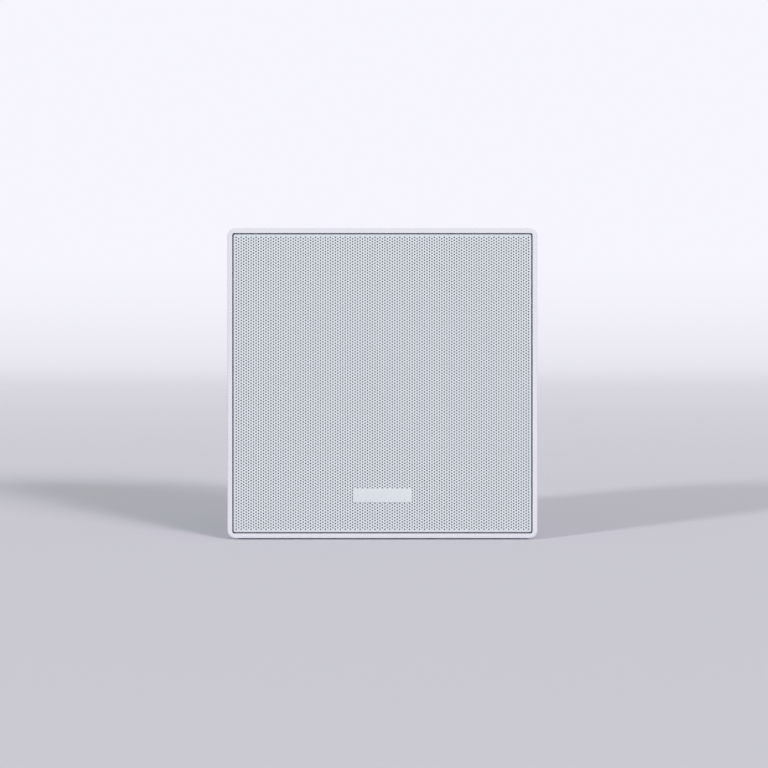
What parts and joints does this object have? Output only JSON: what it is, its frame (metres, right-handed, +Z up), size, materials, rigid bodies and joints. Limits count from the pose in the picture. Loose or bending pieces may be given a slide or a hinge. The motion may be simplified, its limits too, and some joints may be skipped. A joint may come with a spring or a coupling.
{
  "type": "commercial loudspeaker",
  "caption": "Square white moulded two-way loudspeaker with a flush perforated grille, bare badge plate, ported coaxial driver and a recessed rear input panel.",
  "frame": {"origin": "on the floor, under the middle of the body", "axes": "+X to the right seen from the front, +Y towards the back, +Z up; the grille faces -Y"},
  "size_m": [0.325, 0.25, 0.3265],
  "materials": {
    "white_moulding": "fine matt texture",
    "white_steel": "smooth matt powder coat",
    "badge_plate": "satin",
    "scrim_cloth": "thin woven cloth",
    "gasket_foam": "closed-cell foam",
    "black_screw": "black oxide",
    "plated_steel": "zinc plated",
    "black_metal": "black powder coat",
    "ferrite": "ground ferrite",
    "cone_paper": "coated paper",
    "black_rubber": "matt",
    "spider_cloth": "treated cloth",
    "coil_former": "film",
    "copper_wire": "enamelled",
    "lug_strip": "phenolic board",
    "dome_metal": "thin polished foil",
    "tweeter_film": "soft film",
    "black_plastic": "fine texture",
    "green_plastic": "semi-matt",
    "circuit_board": "lacquered",
    "brass_part": "turned",
    "core_steel": "stacked sheet",
    "capacitor_film": "wrapped film",
    "resistor_ceramic": "ceramic",
    "lead_sheath": "soft sheath",
    "lining_foam": "open-cell foam"
  },
  "bodies": {
    "cabinet": {"front_frame": "white_moulding", "rear_cabinet": "white_moulding", "cabinet_gasket": "gasket_foam", "cabinet_screws": "black_screw", "grille": "white_steel", "grille_scrim": "scrim_cloth", "badge": "badge_plate", "grille_magnets": "plated_steel", "woofer_frame": "black_metal", "woofer_gasket": "gasket_foam", "woofer_screws": "black_screw", "woofer_top_plate": "plated_steel", "woofer_magnet": "ferrite", "woofer_yoke": "plated_steel", "woofer_terminals": "lug_strip", "tinsel_leads": "copper_wire", "tweeter_post": "plated_steel", "tweeter_nut": "plated_steel", "tweeter_cup": "plated_steel", "tweeter_magnet": "ferrite", "tweeter_plate": "plated_steel", "tweeter_waveguide": "black_plastic", "port_tube_left": "black_plastic", "port_tube_right": "black_plastic", "input_panel": "black_metal", "input_panel_gasket": "gasket_foam", "input_panel_screws": "plated_steel", "terminal_header": "green_plastic", "terminal_plug": "green_plastic", "terminal_plug_screws": "plated_steel", "selector_switch": "black_plastic", "selector_nut": "plated_steel", "crossover_board": "circuit_board", "board_spacers": "brass_part", "board_screws": "plated_steel", "transformer_core": "core_steel", "transformer_winding": "copper_wire", "transformer_frame": "plated_steel", "woofer_choke": "copper_wire", "tweeter_choke": "copper_wire", "crossover_capacitors": "capacitor_film", "crossover_resistors": "resistor_ceramic", "woofer_lead": "lead_sheath", "tweeter_lead": "lead_sheath", "damping_lining": "lining_foam", "mounting_inserts": "brass_part", "pivot_inserts": "brass_part", "pivot_plugs": "white_moulding", "rubber_feet": "black_rubber"},
    "cone_assembly": {"woofer_cone": "cone_paper", "voice_coil_former": "coil_former", "voice_coil_winding": "copper_wire", "dust_ring": "cone_paper", "woofer_surround": "black_rubber", "woofer_spider": "spider_cloth"},
    "dome_assembly": {"tweeter_dome": "dome_metal", "tweeter_coil": "copper_wire", "tweeter_suspension": "tweeter_film"},
    "selector": {"selector_knob": "black_plastic", "selector_shaft": "plated_steel"}
  },
  "joints": [
    {"name": "woofer_stroke", "type": "slide", "parent": "cabinet", "child": "cone_assembly", "axis": [0, -1, 0], "range_m": [-0.005, 0.005], "stiffness_N_per_m": 3000, "deforming": ["woofer_surround", "woofer_spider", "tinsel_leads"]},
    {"name": "tweeter_stroke", "type": "slide", "parent": "cabinet", "child": "dome_assembly", "axis": [0, -1, 0], "range_m": [-0.0003, 0.0003], "stiffness_N_per_m": 2000, "deforming": ["tweeter_suspension"]},
    {"name": "selector_turn", "type": "hinge", "parent": "cabinet", "child": "selector", "pos_m": [0.036, 0.11, 0.095], "axis": [0, -1, 0], "range_deg": [0, 150]}
  ]
}
